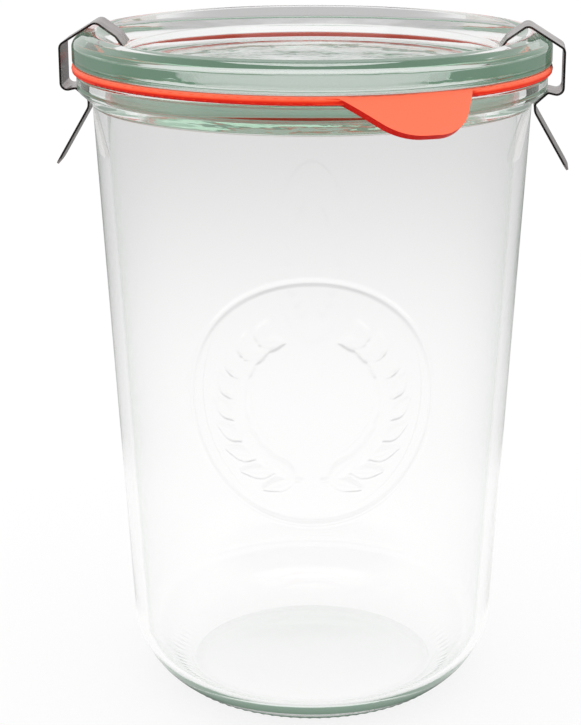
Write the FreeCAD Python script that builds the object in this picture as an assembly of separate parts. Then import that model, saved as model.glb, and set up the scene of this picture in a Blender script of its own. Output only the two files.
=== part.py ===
"""Glass preserving jar with a glass lid, a rubber sealing ring and two spring clips.

Millimetres, +Z up. The origin is the middle of the circle on which the jar stands.
The jar, the lid and the ring are turned about Z; -Y is the front, where the ring's
pull tab hangs, and the clips sit at the left and the right.
"""
import FreeCAD, Part
import math
import os

V = FreeCAD.Vector
UP = V(0, 0, 1)
CENTRE = V(0, 0, 0)

# ---------------------------------------------------------------- overall
glass_height = 147.0        # foot to sealing face
seal_radius = 54.0          # outside of the sealing ring; the other radii follow it

# ---------------------------------------------------------------- jar glass
body_slope = 0.0517         # the wall leans out by this much for each mm of height
wall = 2.9
base_thickness = 3.5
heel_radius = 18.6          # outside, between the wall and the foot
heel_centre_height = 17.9
foot_blend = 2.5            # between the heel and the foot's flat ring
foot_width = 2.4            # the flat ring that the jar stands on
underside_rise = 0.7        # hollow under the base
inner_heel_radius = 13.5
neck_blend = 1.2

# ---------------------------------------------------------------- jar rim
rim_depth = 6.6             # sealing face to the neck, where the wall meets the rim
rim_setback = 1.0           # from the ring's edge to the rim's
rim_overhang = 3.38         # of the rim's edge beyond the neck
rim_underside_angle = 42.4  # degrees from level
rim_lower_blend = 1.2
rim_upper_blend = 0.8
mouth_setback = 0.6         # from the ring's bore to the jar's mouth
mouth_blend = 1.2

# ---------------------------------------------------------------- sealing ring
ring_width = 7.0            # bore to edge
ring_thickness = 2.0
ring_edge_blend = 0.6
tab_direction = 22.0        # degrees from the front towards the right
tab_hang = 56.0             # degrees below level
tab_bend_setback = 0.6      # from the ring's edge to where the tab turns down
tab_bend_radius = 1.6       # of the tab's middle plane
tab_length = 7.6            # from the ring's edge, down the slope
tab_right_width = 13.2      # from the tab's middle line to its steep side
tab_right_lean = 26.6       # degrees
tab_left_width = 12.5       # to its long side, on the ring's edge
tab_left_lean = 47.5        # degrees
tab_right_corner = 9.0
tab_left_corner = 13.0

# ---------------------------------------------------------------- lid glass
lid_setback = 0.15          # from the ring's edge to the lid's
lid_edge_height = 4.8       # sealing face to the foot of the bevel
lid_bevel_angle = 31.9      # degrees from level; the clips lie along this bevel
lid_bevel_width = 2.45      # lid's edge to the end of the bevel
crown_width = 2.8           # from there to the top of the crown
crown_rise = 0.45           # above the end of the bevel
inner_slope_width = 6.2     # crown to the ledge where the clips' toes land
toe_depth = 4.0             # of that ledge below the crown
recess_step_width = 1.8     # ledge to the recess's floor
recess_depth = 7.35         # below the crown
lid_edge_lower_blend = 0.8
lid_edge_upper_blend = 2.0
bevel_blend = 1.5
crown_blend = 2.5
toe_blend = 1.0
recess_blend = 1.0
plug_clearance = 1.0        # between the lid's plug and the ring's bore or the mouth
plug_depth = 7.5            # below the sealing face
plug_taper = 0.25
plug_blend = 0.8
plug_root_blend = 0.5

# ---------------------------------------------------------------- clips
clip_thickness = 0.5
clip_width = 11.0
left_clip_turn = 2.0        # degrees round from the side, clockwise from above
right_clip_turn = 5.7
clip_gap = 0.1              # between the strip and the glass it presses on
clip_back_stand = 2.55      # from the lid's edge to the upright back
clip_peak_inset = 0.4       # of the strip's peak inside the crown's top
clip_toe_run = 1.3          # from the recess's edge out to the toe's bend
clip_toe_bend_rise = 1.9    # of that bend above the lid there
clip_floor_drop = 0.75      # the strip's lower run falls this much out to the back
clip_leg_drop = 1.7         # straight down beside the neck before the leg flares
clip_leg_length = 15.4
clip_leg_flare = 30.4       # degrees from upright
peak_bend = 1.6
back_bend = 1.5
toe_bend = 0.8
seat_bend = 0.8
neck_bend = 1.0
leg_bend = 2.5
tip_blend = 2.0


# ================================================================ outlines
def corner_arc(before, corner, after, radius):
    """End points and middle point of the arc that rounds a corner."""
    to_before = (before - corner).normalize()
    to_after = (after - corner).normalize()
    half = to_before.getAngle(to_after) / 2.0
    reach = radius / math.tan(half)
    bisector = (to_before + to_after).normalize()
    middle = corner + bisector * (radius / math.sin(half) - radius)
    return corner + to_before * reach, middle, corner + to_after * reach


def rounded_line(corners, place):
    """Edges along corners (u, v, radius); place turns u, v into a point.

    The two ends have no radius.
    """
    points = [place(u, v) for u, v, _ in corners]
    edges = []
    last = points[0]
    for i in range(1, len(points) - 1):
        start = end = points[i]
        radius = corners[i][2]
        if radius > 0:
            start, middle, end = corner_arc(points[i - 1], points[i], points[i + 1], radius)
        edges.append(Part.makeLine(last, start))
        if radius > 0:
            edges.append(Part.Arc(start, middle, end).toShape())
        last = end
    edges.append(Part.makeLine(last, points[-1]))
    return edges


def rounded_face(corners, place):
    """A face inside corners, the first of which has no radius."""
    return Part.Face(Part.Wire(rounded_line(corners + corners[:1], place)))


def arc_about(centre, radius, first, last):
    """Arc of a turned section between two angles, in degrees up from level."""
    angles = [math.radians(a) for a in (first, (first + last) / 2, last)]
    start, middle, end = [centre + V(math.cos(a), 0, math.sin(a)) * radius for a in angles]
    return Part.Arc(start, middle, end).toShape()


def on_section(r, z):
    """A point of a turned section."""
    return V(r, 0, z)


def turned(corners):
    """The solid that a section makes when it is turned about Z."""
    return rounded_face(corners, on_section).revolve(CENTRE, UP, 360)


def rise(angle):
    return math.tan(math.radians(angle))


# ================================================================ shared sizes
ring_inner_radius = seal_radius - ring_width
rim_radius = seal_radius - rim_setback
mouth_radius = ring_inner_radius - mouth_setback
neck_radius = rim_radius - rim_overhang
neck_height = glass_height - rim_depth
rim_lower = neck_height + rim_overhang * rise(rim_underside_angle)

seal_top = glass_height + ring_thickness        # the lid rests here
lid_radius = seal_radius - lid_setback
lid_edge_top = seal_top + lid_edge_height
bevel_radius = lid_radius - lid_bevel_width
bevel_top = lid_edge_top + lid_bevel_width * rise(lid_bevel_angle)
crown_radius = bevel_radius - crown_width
crown_top = bevel_top + crown_rise
toe_radius = crown_radius - inner_slope_width
toe_height = crown_top - toe_depth
recess_radius = toe_radius - recess_step_width
recess_floor = crown_top - recess_depth


def body_outside(z):
    """Radius of the tapered wall's outside at a height."""
    return neck_radius - (neck_height - z) * body_slope


# ================================================================ jar
def foot_and_heel():
    """Edges from the foot's flat ring round the heel to the wall, and their two ends."""
    lean = math.atan(body_slope)
    heel_centre = V(body_outside(heel_centre_height) - heel_radius / math.cos(lean), 0,
                    heel_centre_height)
    across = math.sqrt((heel_radius - foot_blend) ** 2
                       - (heel_centre_height - foot_blend) ** 2)
    blend_centre = V(heel_centre.x + across, 0, foot_blend)
    meeting = math.degrees(math.atan2(foot_blend - heel_centre_height, across))
    foot_outer = V(blend_centre.x, 0, 0)
    foot_inner = V(blend_centre.x - foot_width, 0, 0)
    edges = [Part.makeLine(foot_inner, foot_outer),
             arc_about(blend_centre, foot_blend, -90, meeting),
             arc_about(heel_centre, heel_radius, meeting, -math.degrees(lean))]
    wall_start = heel_centre + V(math.cos(lean), 0, -math.sin(lean)) * heel_radius
    return edges, foot_inner, wall_start


def underside(foot_inner):
    """The shallow dome under the base, from the axis out to the foot."""
    radius = (foot_inner.x ** 2 + underside_rise ** 2) / (2 * underside_rise)
    edge_angle = math.degrees(math.acos(foot_inner.x / radius))
    return arc_about(V(0, 0, underside_rise - radius), radius, 90, edge_angle)


def make_jar():
    foot_edges, foot_inner, wall_start = foot_and_heel()
    inner_neck = min(body_outside(neck_height) - wall, mouth_radius)
    wall_edges = rounded_line([
        (wall_start.x, wall_start.z, 0),
        (neck_radius, neck_height, neck_blend),
        (rim_radius, rim_lower, rim_lower_blend),
        (rim_radius, glass_height, rim_upper_blend),
        (mouth_radius, glass_height, mouth_blend),
        (inner_neck, neck_height, neck_blend),
        (body_outside(base_thickness) - wall, base_thickness, inner_heel_radius),
        (0, base_thickness, 0),
        (0, underside_rise, 0)], on_section)
    section = Part.Wire(foot_edges + wall_edges + [underside(foot_inner)])
    return Part.Face(section).revolve(CENTRE, UP, 360)


# ================================================================ lid
def make_lid():
    plug_radius = min(ring_inner_radius, mouth_radius) - plug_clearance
    plug_floor = seal_top - plug_depth
    return turned([
        (0, plug_floor, 0),
        (plug_radius - plug_taper, plug_floor, plug_blend),
        (plug_radius, seal_top, plug_root_blend),
        (lid_radius, seal_top, lid_edge_lower_blend),
        (lid_radius, lid_edge_top, lid_edge_upper_blend),
        (bevel_radius, bevel_top, bevel_blend),
        (crown_radius, crown_top, crown_blend),
        (toe_radius, toe_height, toe_blend),
        (recess_radius, recess_floor, recess_blend),
        (0, recess_floor, 0)])


# ================================================================ sealing ring
def make_tab():
    """A tongue of the ring's own sheet that bends over the edge and hangs down."""
    middle = glass_height + ring_thickness / 2
    slope = math.radians(tab_hang)
    bend = seal_radius - tab_bend_setback
    reach = tab_bend_setback + tab_length + ring_thickness
    sheet = turned(strip_corners([
        (seal_radius - ring_width / 2, middle, 0),
        (bend, middle, tab_bend_radius),
        (bend + reach * math.cos(slope), middle - reach * math.sin(slope), 0)],
        ring_thickness))

    outward = V(math.sin(math.radians(tab_direction)), -math.cos(math.radians(tab_direction)), 0)
    sideways = V(-outward.y, outward.x, 0)
    down = outward * math.cos(slope) - UP * math.sin(slope)
    face_normal = sideways.cross(down)
    edge = outward * seal_radius + UP * glass_height

    def on_slope(u, v):
        return edge + sideways * u + down * v

    inside = -2.5 * ring_thickness
    right_low = tab_right_width - inside * rise(tab_right_lean)
    right_top = tab_right_width - tab_length * rise(tab_right_lean)
    left_low = -tab_left_width + inside * rise(tab_left_lean)
    left_top = -tab_left_width + tab_length * rise(tab_left_lean)
    outline = rounded_face([(right_low, inside, 0),
                            (right_top, tab_length, tab_right_corner),
                            (left_top, tab_length, tab_left_corner),
                            (left_low, inside, 0)], on_slope)
    depth = 4 * ring_thickness
    outline.translate(face_normal * -depth)
    return outline.extrude(face_normal * (2 * depth)).common(sheet)


def make_ring():
    ring = turned([
        (ring_inner_radius, glass_height, 0),
        (seal_radius, glass_height, ring_edge_blend),
        (seal_radius, seal_top, ring_edge_blend),
        (ring_inner_radius, seal_top, 0)])
    return ring.fuse(make_tab()).removeSplitter()


# ================================================================ clips
def strip_corners(path, thickness):
    """The outline of a bent strip around its middle line, as corners for a face."""
    half = thickness / 2
    left = []
    right = []
    for i, (r, z, bend) in enumerate(path):
        before = path[max(i - 1, 0)]
        after = path[min(i + 1, len(path) - 1)]
        if i == 0:
            before = (2 * r - after[0], 2 * z - after[1], 0)
        if i == len(path) - 1:
            after = (2 * r - before[0], 2 * z - before[1], 0)
        first = math.atan2(z - before[1], r - before[0])
        second = math.atan2(after[1] - z, after[0] - r)
        turn = (second - first + math.pi) % (2 * math.pi) - math.pi
        side = first + turn / 2 + math.pi / 2
        shift = half / math.cos(turn / 2)
        inner = bend - math.copysign(half, turn)
        outer = bend + math.copysign(half, turn)
        if bend == 0:
            inner = 0
            outer = 0
        left.append((r + shift * math.cos(side), z + shift * math.sin(side), inner))
        right.append((r - shift * math.cos(side), z - shift * math.sin(side), outer))
    return left + right[::-1]


def clip_path():
    """The strip's middle line, seated on the lid's bevel and under the jar's rim."""
    stand = clip_gap + clip_thickness / 2
    bevel = math.radians(lid_bevel_angle)
    under = math.radians(rim_underside_angle)

    def over_bevel(r):
        return lid_edge_top + (lid_radius - r) * math.tan(bevel) + stand / math.cos(bevel)

    def under_rim(r):
        return rim_lower - (rim_radius - r) * math.tan(under) - stand / math.cos(under)

    def inner_slope(r):
        return toe_height + (r - toe_radius) * toe_depth / inner_slope_width

    toe = toe_radius - clip_thickness / 2
    toe_corner = math.hypot(toe_radius, clip_width / 2)
    toe_bend_radius = toe_radius + clip_toe_run
    peak = crown_radius - clip_peak_inset
    back = lid_radius + clip_back_stand
    neck_run = neck_radius + clip_gap + clip_thickness
    neck_run_top = under_rim(neck_run)
    leg_top = neck_run_top - clip_leg_drop
    flare = math.radians(clip_leg_flare)
    seat_height = under_rim(rim_radius)
    return [(toe, inner_slope(toe_corner) + stand, 0),
            (toe_bend_radius, inner_slope(toe_bend_radius) + clip_toe_bend_rise, toe_bend),
            (peak, over_bevel(peak), peak_bend),
            (back, over_bevel(back), back_bend),
            (back, seat_height - clip_floor_drop, back_bend),
            (rim_radius, seat_height, seat_bend),
            (neck_run, neck_run_top, neck_bend),
            (neck_run, leg_top, leg_bend),
            (neck_run + clip_leg_length * math.sin(flare),
             leg_top - clip_leg_length * math.cos(flare), 0)]


def make_clip(direction):
    """One clip; direction is the angle from +X, in degrees, at which it sits."""
    def beside(r, z):
        return V(r, -clip_width / 2, z)

    path = clip_path()
    strip = rounded_face(strip_corners(path, clip_thickness), beside)
    strip = strip.extrude(V(0, clip_width, 0))
    low = strip.BoundBox.ZMin
    tip_edges = [e for e in strip.Edges
                 if abs(e.Length - clip_thickness) < 0.01
                 and e.CenterOfMass.z < low + clip_thickness]
    strip = strip.makeFillet(tip_blend, tip_edges)
    strip.rotate(CENTRE, UP, direction)
    return strip


# ================================================================ files
def main():
    parts = {
        "jar_body": make_jar(),
        "lid": make_lid(),
        "sealing_ring": make_ring(),
        "clip_left": make_clip(180 - left_clip_turn),
        "clip_right": make_clip(-right_clip_turn),
    }
    os.makedirs("parts", exist_ok=True)
    for name, shape in parts.items():
        solid = shape.Solids[0]
        box = solid.BoundBox
        print(name, "valid", solid.isValid(), "solids", len(shape.Solids),
              "volume %.1f" % solid.Volume,
              "x %.2f %.2f y %.2f %.2f z %.2f %.2f" % (box.XMin, box.XMax, box.YMin,
                                                       box.YMax, box.ZMin, box.ZMax))
        solid.exportStep("parts/%s.step" % name)


main()
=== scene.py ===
"""An empty, closed preserving jar: glass, glass lid, rubber ring and two spring clips."""
import math

import bmesh
import bpy
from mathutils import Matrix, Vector


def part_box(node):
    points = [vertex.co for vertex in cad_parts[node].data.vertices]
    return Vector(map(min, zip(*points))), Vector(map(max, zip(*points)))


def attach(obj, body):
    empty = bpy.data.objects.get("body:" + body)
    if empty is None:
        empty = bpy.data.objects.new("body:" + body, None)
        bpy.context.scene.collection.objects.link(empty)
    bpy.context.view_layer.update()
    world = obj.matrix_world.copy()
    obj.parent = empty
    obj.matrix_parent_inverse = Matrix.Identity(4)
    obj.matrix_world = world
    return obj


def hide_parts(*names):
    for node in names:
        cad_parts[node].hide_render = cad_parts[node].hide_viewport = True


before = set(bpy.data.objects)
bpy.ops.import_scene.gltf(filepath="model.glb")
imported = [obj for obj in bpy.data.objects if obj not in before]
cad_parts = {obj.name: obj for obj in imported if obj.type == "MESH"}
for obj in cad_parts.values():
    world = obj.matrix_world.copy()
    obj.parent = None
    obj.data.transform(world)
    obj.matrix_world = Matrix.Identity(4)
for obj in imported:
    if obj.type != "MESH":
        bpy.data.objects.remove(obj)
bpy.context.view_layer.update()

MM = 0.001
UP = Vector((0, 0, 1))

# ---------------------------------------------------------------- sizes, in mm
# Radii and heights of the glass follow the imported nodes; the rest are the maker's sizes.
rim_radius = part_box("jar_body")[1].x / MM
glass_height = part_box("jar_body")[1].z / MM
lid_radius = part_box("lid")[1].x / MM
seal_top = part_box("sealing_ring")[1].z / MM
seal_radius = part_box("sealing_ring")[1].x / MM

ring_width = 7.0
mouth_setback = 0.6
mouth_radius = seal_radius - ring_width - mouth_setback
mouth_blend = 1.2
rim_depth = 6.6
rim_overhang = 3.38
rim_underside_angle = 42.4
rim_upper_blend = 0.8
rim_lower_blend = 1.2
neck_blend = 1.2
neck_radius = rim_radius - rim_overhang
neck_height = glass_height - rim_depth
rim_lower = neck_height + rim_overhang * math.tan(math.radians(rim_underside_angle))
body_slope = 0.0517         # the wall leans out by this much for each mm of height
wall = 2.9
base_thickness = 3.5
underside_rise = 0.7
heel_radius = 18.6
heel_centre_height = 17.9
inner_heel_radius = 13.5
foot_blend = 2.5
foot_width = 2.4

lid_edge_height = 4.8
bevel_width = 2.45
bevel_angle = 31.9
crown_width = 2.8
crown_rise = 0.45
inner_slope_width = 6.2
toe_depth = 4.0             # below the crown, where the clips' toes land
recess_step_width = 1.8
recess_depth = 7.35         # below the crown
plug_clearance = 1.0
plug_taper = 0.25
plug_depth = 7.5            # below the top of the ring
plug_blend = 0.8
plug_root_blend = 0.5
lid_lower_blend = 0.8
lid_edge_blend = 2.0
bevel_blend = 1.5
crown_blend = 2.5
recess_blend = 1.0
lid_edge_top = seal_top + lid_edge_height
bevel_radius = lid_radius - bevel_width
bevel_top = lid_edge_top + bevel_width * math.tan(math.radians(bevel_angle))
crown_radius = bevel_radius - crown_width
crown_top = bevel_top + crown_rise
toe_radius = crown_radius - inner_slope_width
recess_radius = toe_radius - recess_step_width
recess_floor = crown_top - recess_depth
plug_radius = mouth_radius - plug_clearance
plug_bottom = seal_top - plug_depth

air_film = 0.05             # between the rubber and the glass above and below it
wall_bulge = 0.13           # of the ring's outside, at its middle height
bulge_height = 0.4          # from the middle to the end of the bulge, up and down
bulge_reach = 0.7           # on the ring's faces, to either side of the wall's radius
wall_slack = 0.06           # by which a cut point may lie off the wall's radius
tab_edge_blend = 0.5
strip_edge_blend = 0.07     # on the clips' cut edges
tongue_top = 138.0          # below this the clips' tongues have a painted glow where the jar's side mirrors them
tongue_fade = 6.0

knurl_count = 95
knurl_inner = 33.1
knurl_outer = 34.7
knurl_top = 4.0             # everything higher lies outside the knurls' ring
knurl_depth = 0.16
steps_per_knurl = 3
jar_steps = steps_per_knurl * knurl_count
lid_steps = 288

relief_height = 82.0        # of the medallion's middle
relief_reach = 29.0         # from there to the edge of the finer faces
line_radius = 27.5          # of the line round the sprigs
line_half_width = 0.75
line_height = 0.32
sprig_radius = 17.5
stem_half_width = 0.6
stem_height = 0.26
stem_start = -84            # degrees round from level, as are the next four
stem_end = 58
first_leaf = -78
leaf_spacing = 16
leaf_lean = 32              # to either side of the stem
leaf_pairs = 9
leaf_length = 8.2           # of the lowest pair; each pair above is a little shorter
leaf_shortening = 0.28
leaf_half_width = 1.9
leaf_height = 0.42
vein_share = 0.25           # of the leaf's width
vein_depth = 0.1


def body_outside(z):
    """Radius of the tapered wall's outside at a height."""
    return neck_radius - (neck_height - z) * body_slope


# ---------------------------------------------------------------- mesh helpers
def finish_piece(name, bm, material, body="root"):
    """The mesh as an object that rides on a body, with smooth faces that point outwards."""
    bmesh.ops.remove_doubles(bm, verts=bm.verts, dist=0.002 * MM)
    bmesh.ops.recalc_face_normals(bm, faces=bm.faces)
    mesh = bpy.data.meshes.new(name)
    bm.to_mesh(mesh)
    bm.free()
    mesh.shade_smooth()
    mesh.materials.append(material)
    piece = bpy.data.objects.new(name, mesh)
    bpy.context.scene.collection.objects.link(piece)
    level = piece.modifiers.new("flat_faces_stay_flat", "WEIGHTED_NORMAL")
    level.mode = "FACE_AREA"
    level.weight = 50
    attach(piece, body)
    return piece


def tangent_corner(x, z, radius, first, last):
    """The corner that rounds to an arc about (x, z) between two directions from it."""
    middle = (first + last) / 2
    reach = radius / math.cos((last - first) / 2)
    return x + reach * math.cos(middle), z + reach * math.sin(middle), radius


def section_line(corners, arc_step=5):
    """A bmesh with one line along corners (radius, height, rounding) in the XZ plane."""
    bm = bmesh.new()
    verts = [bm.verts.new(Vector((r, 0, z)) * MM) for r, z, _ in corners]
    for first, second in zip(verts, verts[1:]):
        bm.edges.new((first, second))
    for vert, (_, _, rounding) in zip(verts, corners):
        if rounding:
            round_corner(bm, vert, rounding * MM, arc_step)
    return bm


def round_corner(bm, vert, radius, arc_step):
    """Round one corner of a line to a radius, a segment to every arc_step degrees or so."""
    before, after = [e.other_vert(vert).co for e in vert.link_edges]
    half = (before - vert.co).angle(after - vert.co) / 2
    turn = math.degrees(math.pi - 2 * half)
    bmesh.ops.bevel(bm, geom=[vert], offset=radius / math.tan(half), offset_type="OFFSET",
                    segments=max(3, round(turn / arc_step)), profile=0.5, affect="VERTICES",
                    material=-1)


def turn(bm, steps):
    """Spin everything in the bmesh once round Z."""
    bmesh.ops.spin(bm, geom=bm.verts[:] + bm.edges[:], cent=(0, 0, 0), axis=UP,
                   angle=2 * math.pi, steps=steps, use_merge=True, use_duplicate=False)


def node_copy(node):
    """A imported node's mesh as a bmesh, with its loose triangles joined into whole faces."""
    bm = bmesh.new()
    bm.from_mesh(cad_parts[node].data)
    bmesh.ops.remove_doubles(bm, verts=bm.verts, dist=0.001 * MM)
    bmesh.ops.recalc_face_normals(bm, faces=bm.faces)
    bmesh.ops.dissolve_limit(bm, angle_limit=math.radians(0.4), verts=bm.verts, edges=bm.edges)
    return bm


def sharp_edges(bm, angle):
    """The edges between two faces that turn by more than an angle in degrees."""
    return [e for e in bm.edges
            if len(e.link_faces) == 2 and e.calc_face_angle() > math.radians(angle)]


# ---------------------------------------------------------------- materials
def new_material(name):
    """A material with its nodes, its Principled shader and its output."""
    material = bpy.data.materials.new(name)
    material.use_nodes = True
    tree = material.node_tree
    return material, tree, tree.nodes["Principled BSDF"], tree.nodes["Material Output"]


def set_input(tree, socket, value):
    """Give a socket a plain number, or link it to another node's value."""
    if isinstance(value, (int, float)):
        socket.default_value = value
    else:
        tree.links.new(value, socket)


def soft_noise_group():
    """Noise stretched by a scale along each axis, as a value round a half."""
    group = bpy.data.node_groups.new("stretched_noise", "ShaderNodeTree")
    group.interface.new_socket("Stretch", in_out="INPUT", socket_type="NodeSocketVector")
    group.interface.new_socket("Scale", in_out="INPUT", socket_type="NodeSocketFloat")
    group.interface.new_socket("Detail", in_out="INPUT", socket_type="NodeSocketFloat")
    group.interface.new_socket("Value", in_out="OUTPUT", socket_type="NodeSocketFloat")
    inside = group.nodes.new("NodeGroupInput")
    outside = group.nodes.new("NodeGroupOutput")
    coords = group.nodes.new("ShaderNodeTexCoord")
    stretch = group.nodes.new("ShaderNodeVectorMath")
    stretch.operation = "MULTIPLY"
    noise = group.nodes.new("ShaderNodeTexNoise")
    group.links.new(coords.outputs["Object"], stretch.inputs[0])
    group.links.new(inside.outputs["Stretch"], stretch.inputs[1])
    group.links.new(stretch.outputs[0], noise.inputs["Vector"])
    group.links.new(inside.outputs["Scale"], noise.inputs["Scale"])
    group.links.new(inside.outputs["Detail"], noise.inputs["Detail"])
    group.links.new(noise.outputs["Fac"], outside.inputs["Value"])
    return group


def noise_value(tree, stretch, scale, detail):
    """The stretched noise in a material, with its own values."""
    node = tree.nodes.new("ShaderNodeGroup")
    node.node_tree = soft_noise
    node.inputs["Stretch"].default_value = stretch
    node.inputs["Scale"].default_value = scale
    node.inputs["Detail"].default_value = detail
    return node.outputs["Value"]


def bumped(tree, shader, heights):
    """Give the shader a normal from (value, depth in mm) pairs, one bump over another."""
    before = None
    for value, depth in heights:
        bump = tree.nodes.new("ShaderNodeBump")
        bump.inputs["Strength"].default_value = 1.0
        bump.inputs["Distance"].default_value = depth * MM
        tree.links.new(value, bump.inputs["Height"])
        if before:
            tree.links.new(before, bump.inputs["Normal"])
        before = bump.outputs["Normal"]
    tree.links.new(before, shader.inputs["Normal"])


def value_ramp(tree, value, stops):
    """Colours along a value: stops are (position, colour)."""
    node = tree.nodes.new("ShaderNodeValToRGB")
    tree.links.new(value, node.inputs[0])
    elements = node.color_ramp.elements
    while len(elements) < len(stops):
        elements.new(0.5)
    for element, (position, colour) in zip(elements, stops):
        element.position = position
        element.color = (*colour, 1)
    return node.outputs["Color"]


def ramp(tree, source, low, high, at_low, at_high):
    """A smooth step from at_low to at_high as source goes from low to high."""
    step = tree.nodes.new("ShaderNodeMapRange")
    step.interpolation_type = "SMOOTHSTEP"
    tree.links.new(source, step.inputs["Value"])
    for name, value in (("From Min", low), ("From Max", high),
                        ("To Min", at_low), ("To Max", at_high)):
        step.inputs[name].default_value = value
    return step.outputs[0]


def mixed(tree, share, first, second):
    """The shader that shows share of the second and the rest of the first."""
    mix = tree.nodes.new("ShaderNodeMixShader")
    set_input(tree, mix.inputs[0], share)
    tree.links.new(first, mix.inputs[1])
    tree.links.new(second, mix.inputs[2])
    return mix.outputs[0]


def worked_out(tree, operation, first, second):
    """Two values put through one operation."""
    node = tree.nodes.new("ShaderNodeMath")
    node.operation = operation
    set_input(tree, node.inputs[0], first)
    set_input(tree, node.inputs[1], second)
    return node.outputs[0]


def product(tree, first, second):
    """Two values multiplied."""
    return worked_out(tree, "MULTIPLY", first, second)


def total(tree, first, second):
    """Two values added."""
    return worked_out(tree, "ADD", first, second)


def axis_values(tree, vector):
    """A vector's X, Y and Z as values."""
    split = tree.nodes.new("ShaderNodeSeparateXYZ")
    tree.links.new(vector, split.inputs[0])
    return split.outputs


def object_place(tree):
    """The place of what is shaded, in metres from the middle of the foot."""
    return tree.nodes.new("ShaderNodeTexCoord").outputs["Object"]


def lamp(tree, kind, strength, colour=None):
    """An emission or background shader of a strength, white unless it has a colour."""
    node = tree.nodes.new(kind)
    node.inputs["Color"].default_value = (1, 1, 1, 1)
    if colour:
        tree.links.new(colour, node.inputs["Color"])
    set_input(tree, node.inputs["Strength"], strength)
    return node.outputs[0]


def ray_glow(tree, shader, share, colour):
    """A glow that only some rays see: share is 1 for those and 0 for the rest."""
    shader.inputs["Emission Color"].default_value = (0, 0, 0, 1)
    shader.inputs["Emission Strength"].default_value = 1.0
    tree.links.new(value_ramp(tree, share, [(0.0, (0, 0, 0)), (1.0, colour)]),
                   shader.inputs["Emission Color"])


def glass_material(name, waves, calm, waving):
    """Clear pressed glass, green in its thickness; waves are (stretch, scale, depth in mm).

    They grow from nothing at the height calm to their full depth at the height waving.
    """
    material, tree, shader, output = new_material(name)
    shader.inputs["Base Color"].default_value = (1, 1, 1, 1)
    shader.inputs["Roughness"].default_value = 0.0
    shader.inputs["IOR"].default_value = 1.52
    shader.inputs["Transmission Weight"].default_value = 1.0
    absorb = tree.nodes.new("ShaderNodeVolumeAbsorption")
    absorb.inputs["Color"].default_value = glass_tint
    absorb.inputs["Density"].default_value = glass_density
    tree.links.new(absorb.outputs["Volume"], output.inputs["Volume"])
    trapped_light(tree, shader)
    share = ramp(tree, axis_values(tree, object_place(tree))["Z"], calm * MM, waving * MM,
                 0.0, 1.0)
    bumped(tree, shader, [(product(tree, noise_value(tree, stretch, scale, 1.0), share), depth)
                          for stretch, scale, depth in waves])
    return material


def trapped_light(tree, shader):
    """Light turned inside the glass more often than it is followed is painted as a pale green
    glow.
    """
    path = tree.nodes.new("ShaderNodeLightPath")
    turned = worked_out(tree, "GREATER_THAN", path.outputs["Glossy Depth"], most_turns)
    passed = worked_out(tree, "GREATER_THAN", path.outputs["Ray Depth"], most_faces)
    ray_glow(tree, shader, worked_out(tree, "MAXIMUM", turned, passed), trapped_glow_colour)


def rubber_material():
    """Satin orange-red rubber with a faint bloom, fine grain and small pits; painted shade and
    light by facing, and a painted glow where seen through glass.
    """
    material, tree, shader, output = new_material("orange_rubber")
    mottle = noise_value(tree, (1, 1, 1), 260, 4.0)
    grain = noise_value(tree, (1, 1, 1), 2600, 3.0)
    geometry = tree.nodes.new("ShaderNodeNewGeometry")
    facing_up = axis_values(tree, geometry.outputs["Normal"])["Z"]
    # Painted shade and light: deep red where the rubber faces down, pale where it faces up.
    level = ramp(tree, facing_up, -0.75, 0.65, 0.0, 1.0)
    bloom = ramp(tree, mottle, 0.2, 0.8, -0.04, 0.04)
    tree.links.new(value_ramp(tree, total(tree, level, bloom), rubber_painted_shade_colours),
                   shader.inputs["Base Color"])
    shader.inputs["Specular IOR Level"].default_value = 0.18
    # Painted glow: seen through glass, the rubber glows red as if lit.
    path = tree.nodes.new("ShaderNodeLightPath")
    seen_through = ramp(tree, path.outputs["Transmission Depth"], 0.5, 1.0, 0.0, 1.0)
    ray_glow(tree, shader, seen_through, rubber_painted_glow)
    tree.links.new(value_ramp(tree, grain, [(0.3, (0.42, 0.42, 0.42)),
                                            (0.7, (0.56, 0.56, 0.56))]),
                   shader.inputs["Roughness"])
    bumped(tree, shader, [(mottle, 0.008), (grain, 0.01)])
    return material


def steel_material():
    """Bright rolled strip, with fine lines along its length and duller, darker patches, and a
    painted glow where the jar mirrors its tongues.
    """
    material, tree, shader, output = new_material("spring_steel")
    shader.inputs["Metallic"].default_value = 1.0
    lines = noise_value(tree, (0.03, 1, 0.03), 5200, 3.0)
    patches = noise_value(tree, (1, 1, 1), 330, 3.0)
    tree.links.new(value_ramp(tree, lines, [(0.25, dark_steel), (0.75, bright_steel)]),
                   shader.inputs["Base Color"])
    tree.links.new(value_ramp(tree, patches, [(0.3, (0.2, 0.2, 0.2)),
                                              (0.7, (0.3, 0.3, 0.3))]),
                   shader.inputs["Roughness"])
    bumped(tree, shader, [(lines, 0.0025)])
    # Painted reflection: the tongues glow grey where the jar's side mirrors them.
    path = tree.nodes.new("ShaderNodeLightPath")
    mirrored = ramp(tree, path.outputs["Glossy Depth"], 0.5, 1.0, 0.0, 1.0)
    tongue = ramp(tree, axis_values(tree, object_place(tree))["Z"], tongue_top * MM,
                  (tongue_top + tongue_fade) * MM, 1.0, 0.0)
    ray_glow(tree, shader, product(tree, mirrored, tongue), steel_painted_glow)
    return material


glass_tint = (0.48, 0.7, 0.55, 1)
glass_density = 8.0
most_turns = 3.5            # between whole numbers, as a ray's faces are counted in those
most_faces = 11.5
trapped_glow_colour = (0.105, 0.155, 0.12)
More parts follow.
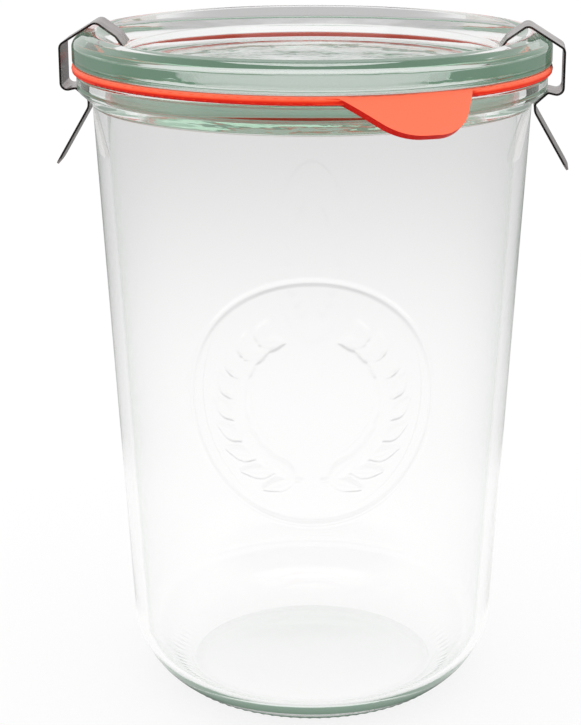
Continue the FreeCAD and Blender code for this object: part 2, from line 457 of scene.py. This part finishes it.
# painted shade and light of the rubber, from facing down to facing up
rubber_painted_shade_colours = [(0.0, (0.72, 0.006, 0.0)), (0.38, (0.84, 0.02, 0.003)),
                  (0.62, (0.97, 0.085, 0.026)), (0.95, (1.0, 0.175, 0.09))]
rubber_painted_glow = (0.26, 0.026, 0.011)
dark_steel = (0.17, 0.152, 0.146)
bright_steel = (0.25, 0.224, 0.216)
steel_painted_glow = (0.5, 0.5, 0.5)
jar_waves = [((1, 1, 0.25), 55, 0.07), ((1, 1, 1), 260, 0.005)]
lid_waves = [((1, 1, 1), 95, 0.12), ((1, 1, 1), 330, 0.02)]

soft_noise = soft_noise_group()
jar_glass = glass_material("jar_glass", jar_waves, neck_height - 2, neck_height - 12)
lid_glass = glass_material("lid_glass", lid_waves, recess_floor - 1.5, recess_floor - 0.5)
rubber = rubber_material()
steel = steel_material()


# ---------------------------------------------------------------- jar glass
def make_jar():
    """The jar's glass: its section from the base's inside over the rim and back, turned."""
    lean = math.atan(body_slope)
    heel_x = body_outside(heel_centre_height) - heel_radius / math.cos(lean)
    across = math.sqrt((heel_radius - foot_blend) ** 2 - (heel_centre_height - foot_blend) ** 2)
    meeting = math.atan2(foot_blend - heel_centre_height, across)
    foot_outer = heel_x + across
    foot_inner = foot_outer - foot_width
    dome = (foot_inner ** 2 + underside_rise ** 2) / (2 * underside_rise)
    up = math.pi / 2
    bm = section_line([
        (0, base_thickness, 0),
        (body_outside(base_thickness) - wall, base_thickness, inner_heel_radius),
        (neck_radius - wall, neck_height, neck_blend),
        (mouth_radius, glass_height, mouth_blend),
        (rim_radius, glass_height, rim_upper_blend),
        (rim_radius, rim_lower, rim_lower_blend),
        (neck_radius, neck_height, neck_blend),
        tangent_corner(heel_x, heel_centre_height, heel_radius, -lean, meeting),
        tangent_corner(foot_outer, foot_blend, foot_blend, meeting, -up),
        (foot_inner, 0, 0),
        tangent_corner(0, underside_rise - dome, dome, up - math.asin(foot_inner / dome), up),
        (0, underside_rise, 0)], arc_step=3)
    cut_relief_rows(bm)
    turn(bm, jar_steps)
    raise_knurls(bm)
    raise_relief(bm)
    jar = finish_piece("jar_glass", bm, jar_glass)
    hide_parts("jar_body")


def beside_relief(vert):
    """True if a vertex is on the outside of the wall, at the height of the medallion."""
    radius, height = vert.co.xy.length / MM, vert.co.z / MM
    return (radius > body_outside(height) - wall / 2
            and abs(height - relief_height) < relief_reach + 0.01)


def at_front(vert):
    """True if a vertex is on the outside of the wall, in the medallion's square."""
    sideways = abs(math.atan2(vert.co.x, -vert.co.y)) * body_outside(relief_height)
    return vert.co.y < 0 and beside_relief(vert) and sideways < relief_reach


def cut_relief_rows(bm):
    """Cut the outer wall's line, where the relief stands, into rows as tall as they are wide."""
    for height in (relief_height - relief_reach, relief_height + relief_reach):
        bmesh.ops.bisect_plane(bm, geom=bm.verts[:] + bm.edges[:], plane_no=UP,
                               plane_co=UP * height * MM)
    rows = [e for e in bm.edges if all(beside_relief(v) for v in e.verts)]
    width = 2 * math.pi * body_outside(relief_height) / jar_steps
    bmesh.ops.subdivide_edges(bm, edges=rows, cuts=round(2 * relief_reach / width) - 1)


def raise_knurls(bm):
    """Short ribs in a ring on the heel, just outside the foot."""
    for vert in bm.verts:
        radius = vert.co.xy.length / MM
        if vert.co.z / MM < knurl_top and knurl_inner < radius < knurl_outer:
            step = round(math.atan2(vert.co.y, vert.co.x) / (2 * math.pi) * jar_steps)
            if step % steps_per_knurl == 0:
                # Down and out, but less and less down where the glass nears the ground.
                vert.co.z -= knurl_depth * MM * vert.co.z / (vert.co.z + 1 * MM)
                vert.co.xy *= 1 + knurl_depth / radius * 0.5


def leaf_places():
    """Foot, direction and length of each leaf on two sprigs that curve up to an open top."""
    leaves = []
    for pair in range(leaf_pairs):
        along = math.radians(first_leaf + leaf_spacing * pair)
        foot = Vector((math.cos(along), math.sin(along))) * sprig_radius
        for lean in (leaf_lean, -leaf_lean):
            heading = along + math.pi / 2 + math.radians(lean)
            leaves.append((foot, Vector((math.cos(heading), math.sin(heading))),
                           leaf_length - leaf_shortening * pair))
    return leaves


def rounded_line(offset, half_width, height):
    """How high a rounded line stands at an offset from its middle."""
    return height * max(0.0, 1 - (offset / half_width) ** 2)


def relief_rise(place, leaves):
    """How far the medallion stands out, in mm, at a place from its middle."""
    rise = rounded_line(place.length - line_radius, line_half_width, line_height)
    side = Vector((abs(place.x), place.y))
    off_stem = side.length - sprig_radius
    if abs(off_stem) > leaf_length:
        return rise
    if stem_start < math.degrees(math.atan2(side.y, side.x)) < stem_end:
        rise = max(rise, rounded_line(off_stem, stem_half_width, stem_height))
    for foot, heading, length in leaves:
        offset = side - foot
        along = offset.dot(heading) / length
        if 0 < along < 1:
            half_width = leaf_half_width * math.sin(math.pi * along ** 0.75)
            across = offset.cross(heading) / half_width
            if abs(across) < 1:
                vein = vein_depth * max(0.0, 1 - abs(across) / vein_share)
                rise = max(rise, leaf_height * math.sqrt(1 - across ** 2) - vein)
    return rise


def raise_relief(bm):
    """A ring line round two leafy sprigs, pressed into the front of the wall."""
    edges = [e for e in bm.edges if all(at_front(v) for v in e.verts)]
    bmesh.ops.subdivide_edges(bm, edges=edges, cuts=2, use_grid_fill=True)
    leaves = leaf_places()
    for vert in bm.verts:
        if at_front(vert):
            radius = vert.co.xy.length / MM
            place = Vector((math.atan2(vert.co.x, -vert.co.y) * radius,
                            vert.co.z / MM - relief_height))
            wanted = body_outside(vert.co.z / MM) + relief_rise(place, leaves)
            vert.co.xy *= wanted / radius


# ---------------------------------------------------------------- lid glass
def make_lid():
    """The lid's glass: its section from the plug over the crown to the recess, turned."""
    bm = section_line([
        (0, plug_bottom, 0),
        (plug_radius - plug_taper, plug_bottom, plug_blend),
        (plug_radius, seal_top, plug_root_blend),
        (lid_radius, seal_top, lid_lower_blend),
        (lid_radius, lid_edge_top, lid_edge_blend),
        (bevel_radius, bevel_top, bevel_blend),
        (crown_radius, crown_top, crown_blend),
        (toe_radius, crown_top - toe_depth, recess_blend),
        (recess_radius, recess_floor, recess_blend),
        (0, recess_floor, 0)])
    turn(bm, lid_steps)
    lid = finish_piece("lid_glass", bm, lid_glass)
    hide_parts("lid")


# ---------------------------------------------------------------- ring and clips
def make_ring():
    """The rubber ring, a film of air off the glass above and below, its tab's edges round."""
    bm = node_copy("sealing_ring")
    middle = (glass_height + seal_top) / 2
    half_thickness = (seal_top - glass_height) / 2
    bmesh.ops.bisect_plane(bm, geom=bm.verts[:] + bm.edges[:] + bm.faces[:],
                           plane_co=UP * middle * MM, plane_no=UP)
    for vert in bm.verts:
        height = vert.co.z / MM
        from_middle = abs(height - middle)
        off_wall = abs(vert.co.xy.length / MM - seal_radius)
        if off_wall < wall_slack:
            vert.co.xy *= seal_radius * MM / vert.co.xy.length
        if off_wall < bulge_reach and from_middle < half_thickness + 0.01:
            inset = wall_bulge * min(1.0, from_middle / bulge_height) ** 2
            vert.co.xy *= 1 - inset / seal_radius
        if abs(height - seal_top) < air_film:
            vert.co.z = (seal_top - air_film) * MM
        elif abs(height - glass_height) < air_film:
            vert.co.z = (glass_height + air_film) * MM
    tab = [e for e in sharp_edges(bm, 50) if e.is_convex
           and max(v.co.xy.length for v in e.verts) > (seal_radius + 0.3) * MM]
    bmesh.ops.bevel(bm, geom=tab, offset=tab_edge_blend * MM, offset_type="OFFSET",
                    segments=4, profile=0.5, affect="EDGES", clamp_overlap=True, material=-1)
    ring = finish_piece("rubber_ring", bm, rubber)
    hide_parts("sealing_ring")


def make_clip(side):
    """A clip bent from strip, with its cut edges broken."""
    node = "clip_" + side
    bm = node_copy(node)
    bmesh.ops.bevel(bm, geom=sharp_edges(bm, 60), offset=strip_edge_blend * MM,
                    offset_type="OFFSET", segments=2, profile=0.5, affect="EDGES",
                    material=-1)
    clip = finish_piece("spring_clip_" + side, bm, steel)
    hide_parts(node)


# ---------------------------------------------------------------- studio
lens_length = 94.57         # in mm, for a frame 36 mm wide
lens_shift = -0.0299
camera_distance = 0.4312    # metres in front of the jar's middle
camera_height = 0.2086
camera_tilt = 16.92         # degrees down from level
floor_size = 4.0            # metres from its middle to its edge
floor_shadow = 0.15         # share of the jar's shadow in the white that the lens sees
first_colour = (1, 0.982, 0.992)
deep_colour = (0.48, 0.55, 0.5)


def make_camera():
    """A long lens, a little above the lid and tilted down to the middle of the jar."""
    data = bpy.data.cameras.new("camera")
    data.sensor_width = 36
    data.lens = lens_length
    data.shift_x = lens_shift
    camera = bpy.data.objects.new("camera", data)
    camera.location = (0, -camera_distance, camera_height)
    camera.rotation_euler = (math.radians(90 - camera_tilt), 0, 0)
    bpy.context.scene.collection.objects.link(camera)
    bpy.context.scene.camera = camera


def make_world():
    """Even white light; glass and metal also show a dark front and a grey ceiling."""
    world = bpy.data.worlds.new("white_studio")
    bpy.context.scene.world = world
    world.use_nodes = True
    tree = world.node_tree
    tree.nodes.clear()
    path = tree.nodes.new("ShaderNodeLightPath")
    direction = axis_values(tree, tree.nodes.new("ShaderNodeTexCoord").outputs["Generated"])
    back, up = direction["Y"], direction["Z"]
    sweep = product(tree, ramp(tree, up, 0.5, 0.9, 0.97, 0.35),
                    ramp(tree, back, -0.75, -0.2, 0.12, 1.0))
    softbox = product(tree, ramp(tree, up, 0.6, 0.75, 0.0, 1.6),
                      ramp(tree, back, -0.45, -0.3, 1.0, 0.0))
    around = lamp(tree, "ShaderNodeBackground", total(tree, sweep, softbox),
                  after_turns(tree, path))
    lit = mixed(tree, path.outputs["Is Glossy Ray"],
                lamp(tree, "ShaderNodeBackground", 1.35), around)
    shown = mixed(tree, path.outputs["Is Camera Ray"], lit,
                  lamp(tree, "ShaderNodeBackground", 1.0))
    output = tree.nodes.new("ShaderNodeOutputWorld")
    tree.links.new(shown, output.inputs["Surface"])


def after_turns(tree, path):
    """Light that has crossed much glass comes from the dimmer parts of the room, and greener."""
    share = ramp(tree, path.outputs["Ray Depth"], 4.0, 6.5, 0.0, 1.0)
    return value_ramp(tree, share, [(0.0, first_colour), (1.0, deep_colour)])


def floor_through_glass(tree, path):
    """The floor as glass and metal show it: white near by, dark far out in front.

    For light that has met only a few faces, a shadow is painted under the foot and the floor is
    dimmer further out.
    """
    place = object_place(tree)
    distance = tree.nodes.new("ShaderNodeVectorMath")
    distance.operation = "LENGTH"
    tree.links.new(place, distance.inputs[0])
    out = distance.outputs["Value"]
    mirrored = total(tree, ramp(tree, out, 0.15, 0.45, 1.0, 0.04),
                     ramp(tree, axis_values(tree, place)["Y"], 0.0, 0.4, 0.0, 0.6))
    # Painted shadow: the floor is dark under the foot for light that met few faces.
    shallow_painted_shadow = product(tree, ramp(tree, out, 0.033, 0.042, 0.22, 1.0),
                      ramp(tree, out, 0.12, 0.2, 1.0, 0.55))
    deep = ramp(tree, path.outputs["Ray Depth"], 2.5, 3.5, 0.0, 1.0)
    clear = ramp(tree, total(tree, shallow_painted_shadow, deep), 0.0, 1.0, 0.0, 1.0)
    seen = product(tree, ramp(tree, out, 0.15, 0.8, 1.06, 0.8), clear)
    colour = after_turns(tree, path)
    return mixed(tree, path.outputs["Is Transmission Ray"],
                 lamp(tree, "ShaderNodeEmission", product(tree, mirrored, clear), colour),
                 lamp(tree, "ShaderNodeEmission", seen, colour))


def floor_material():
    """White to the lens but for the jar's shadow, and plain grey as it lights the jar."""
    material, tree, shader, output = new_material("floor_white")
    shader.inputs["Base Color"].default_value = (0.8, 0.8, 0.8, 1)
    shader.inputs["Roughness"].default_value = 0.9
    path = tree.nodes.new("ShaderNodeLightPath")
    lower = tree.nodes.new("ShaderNodeBsdfDiffuse")
    lower.inputs["Color"].default_value = (0.5, 0.5, 0.5, 1)
    to_lens = mixed(tree, 1 - floor_shadow, shader.outputs[0],
                    lamp(tree, "ShaderNodeEmission", 1.0))
    around = mixed(tree, path.outputs["Is Glossy Ray"], lower.outputs[0],
                   floor_through_glass(tree, path))
    tree.links.new(mixed(tree, path.outputs["Is Camera Ray"], around, to_lens),
                   output.inputs["Surface"])
    return material


def make_floor():
    """A wide flat floor, which is no part of the jar."""
    bm = bmesh.new()
    bmesh.ops.create_grid(bm, x_segments=1, y_segments=1, size=floor_size)
    mesh = bpy.data.meshes.new("floor")
    bm.to_mesh(mesh)
    bm.free()
    mesh.materials.append(floor_material())
    floor = bpy.data.objects.new("floor", mesh)
    bpy.context.scene.collection.objects.link(floor)


# ---------------------------------------------------------------- build
make_jar()
make_lid()
make_ring()
make_clip("left")
make_clip("right")
make_camera()
make_world()
make_floor()
bpy.context.scene.view_settings.view_transform = "Standard"
